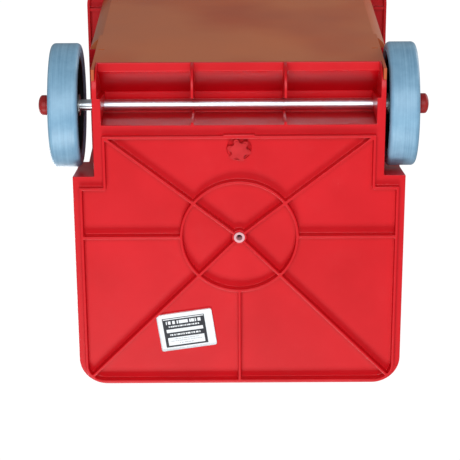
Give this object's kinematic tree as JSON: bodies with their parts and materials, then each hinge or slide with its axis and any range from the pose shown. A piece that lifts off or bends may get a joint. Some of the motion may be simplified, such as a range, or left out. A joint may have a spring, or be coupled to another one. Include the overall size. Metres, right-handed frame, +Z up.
{
  "type": "newspaper vending box",
  "caption": "Coin-operated newspaper box: ribbed moulded base with two rear wheels on an axle, tan pedestal tub and a red cabinet with a drop-down window door.",
  "frame": {"origin": "centre of the anchor hole in the base, on the plane of the rib crests that the box stands on", "axes": "+Z up, -Y out of the door towards the customer, +X towards the box's own left side"},
  "size_m": [0.5506, 0.6026, 1.2313],
  "materials": {
    "base_red": "moulded, semi-matt red",
    "cabinet_red": "moulded, semi-matt red",
    "tub_tan": "moulded, matt reddish tan",
    "cap_red": "pressed cap, glossy red",
    "knob_red": "moulded, glossy red",
    "bushing_nylon": "natural nylon",
    "label_vinyl": "white vinyl with plain printed bars",
    "axle_chrome": "bright plated steel bar",
    "zinc_steel": "zinc plated",
    "ballast_iron": "rough cast iron",
    "hub_black": "moulded black",
    "tyre_grey": "non-marking grey rubber",
    "gasket_black": "extruded black rubber",
    "window_clear": "clear polycarbonate",
    "aluminium_trim": "satin anodised",
    "handle_black": "moulded black",
    "wire_black": "powder coated wire",
    "bezel_chrome": "bright chrome",
    "drawer_steel": "red powder coat"
  },
  "bodies": {
    "base": {"base_tray": "base_red", "anchor_bushing": "bushing_nylon", "base_label": "label_vinyl", "clamp_bolt": "zinc_steel", "clamp_plate": "zinc_steel", "ballast_plate": "ballast_iron", "flange_washers": "zinc_steel", "pedestal_tub": "tub_tan", "tub_screws": "zinc_steel", "cabinet_shell": "cabinet_red", "cabinet_bolts": "zinc_steel", "paper_shelf": "zinc_steel", "door_hinge_pin": "zinc_steel", "latch_bracket": "zinc_steel", "latch_pin": "zinc_steel", "coin_housing": "cabinet_red", "housing_screws": "zinc_steel", "coin_mech": "zinc_steel", "slot_bezel": "bezel_chrome", "rate_plate": "aluminium_trim", "return_cup": "hub_black", "flap_pin": "zinc_steel", "drawer_runner": "zinc_steel", "lid_hinge_pin": "zinc_steel", "rear_handle": "handle_black", "handle_screws": "zinc_steel"},
    "knob": {"star_knob": "knob_red"},
    "axle_set": {"axle": "axle_chrome", "axle_washers": "zinc_steel", "left_axle_cap": "cap_red", "right_axle_cap": "cap_red"},
    "left_wheel": {"left_hub": "hub_black", "left_tyre": "tyre_grey"},
    "right_wheel": {"right_hub": "hub_black", "right_tyre": "tyre_grey"},
    "door": {"door_frame": "cabinet_red", "window_gasket": "gasket_black", "window_pane": "window_clear", "window_retainer": "aluminium_trim", "retainer_screws": "zinc_steel", "door_handle": "handle_black", "door_springs": "zinc_steel", "door_catch": "zinc_steel", "paper_holder": "wire_black"},
    "hook": {"latch_hook": "zinc_steel"},
    "link": {"latch_link": "zinc_steel"},
    "button": {"return_button": "bezel_chrome"},
    "flap": {"return_flap": "aluminium_trim"},
    "drawer": {"coin_drawer": "drawer_steel"},
    "drawer_lock": {"drawer_lock": "bezel_chrome"},
    "lid": {"housing_lid": "cabinet_red"},
    "lid_lock": {"lid_lock": "bezel_chrome"}
  },
  "joints": [
    {"name": "knob_turn", "type": "hinge", "parent": "base", "child": "knob", "pos_m": [0, 0.128, 0.006], "axis": [0, 0, 1], "continuous": true},
    {"name": "axle_play", "type": "slide", "parent": "base", "child": "axle_set", "axis": [-1, 0, 0], "range_m": [0, 0.014]},
    {"name": "left_wheel_spin", "type": "hinge", "parent": "axle_set", "child": "left_wheel", "pos_m": [0.2415, 0.168, 0.088], "axis": [1, 0, 0], "continuous": true},
    {"name": "right_wheel_spin", "type": "hinge", "parent": "axle_set", "child": "right_wheel", "pos_m": [-0.2275, 0.168, 0.088], "axis": [1, 0, 0], "continuous": true},
    {"name": "door_hinge", "type": "hinge", "parent": "base", "child": "door", "pos_m": [0, -0.247, 0.506], "axis": [1, 0, 0], "range_deg": [0, 75], "stiffness_Nm_per_rad": 12, "springref_deg": -17.19},
    {"name": "latch_pivot", "type": "hinge", "parent": "base", "child": "hook", "pos_m": [0, -0.18, 1.002], "axis": [1, 0, 0], "range_deg": [0, 12]},
    {"name": "link_slide", "type": "slide", "parent": "base", "child": "link", "axis": [0, 0, 1], "range_m": [0, 0.0047]},
    {"name": "return_button_press", "type": "slide", "parent": "base", "child": "button", "axis": [0, 1, 0], "range_m": [0, 0.006], "stiffness_N_per_m": 300},
    {"name": "return_flap_swing", "type": "hinge", "parent": "base", "child": "flap", "pos_m": [-0.06, -0.199, 1.089], "axis": [1, 0, 0], "range_deg": [0, 60]},
    {"name": "drawer_slide", "type": "slide", "parent": "base", "child": "drawer", "axis": [0, -1, 0], "range_m": [0, 0.12]},
    {"name": "drawer_lock_turn", "type": "hinge", "parent": "drawer", "child": "drawer_lock", "pos_m": [0.05, -0.205, 1.081], "axis": [0, -1, 0], "range_deg": [0, 90]},
    {"name": "lid_hinge", "type": "hinge", "parent": "base", "child": "lid", "pos_m": [0, 0.061, 1.218], "axis": [-1, 0, 0], "range_deg": [0, 95]},
    {"name": "lid_lock_turn", "type": "hinge", "parent": "lid", "child": "lid_lock", "pos_m": [0, -0.18, 1.22], "axis": [0, 0, -1], "range_deg": [0, 90]}
  ],
  "couplings": [
    {"joint": "link_slide", "follows": "latch_pivot", "m_per_rad": 0.022}
  ]
}
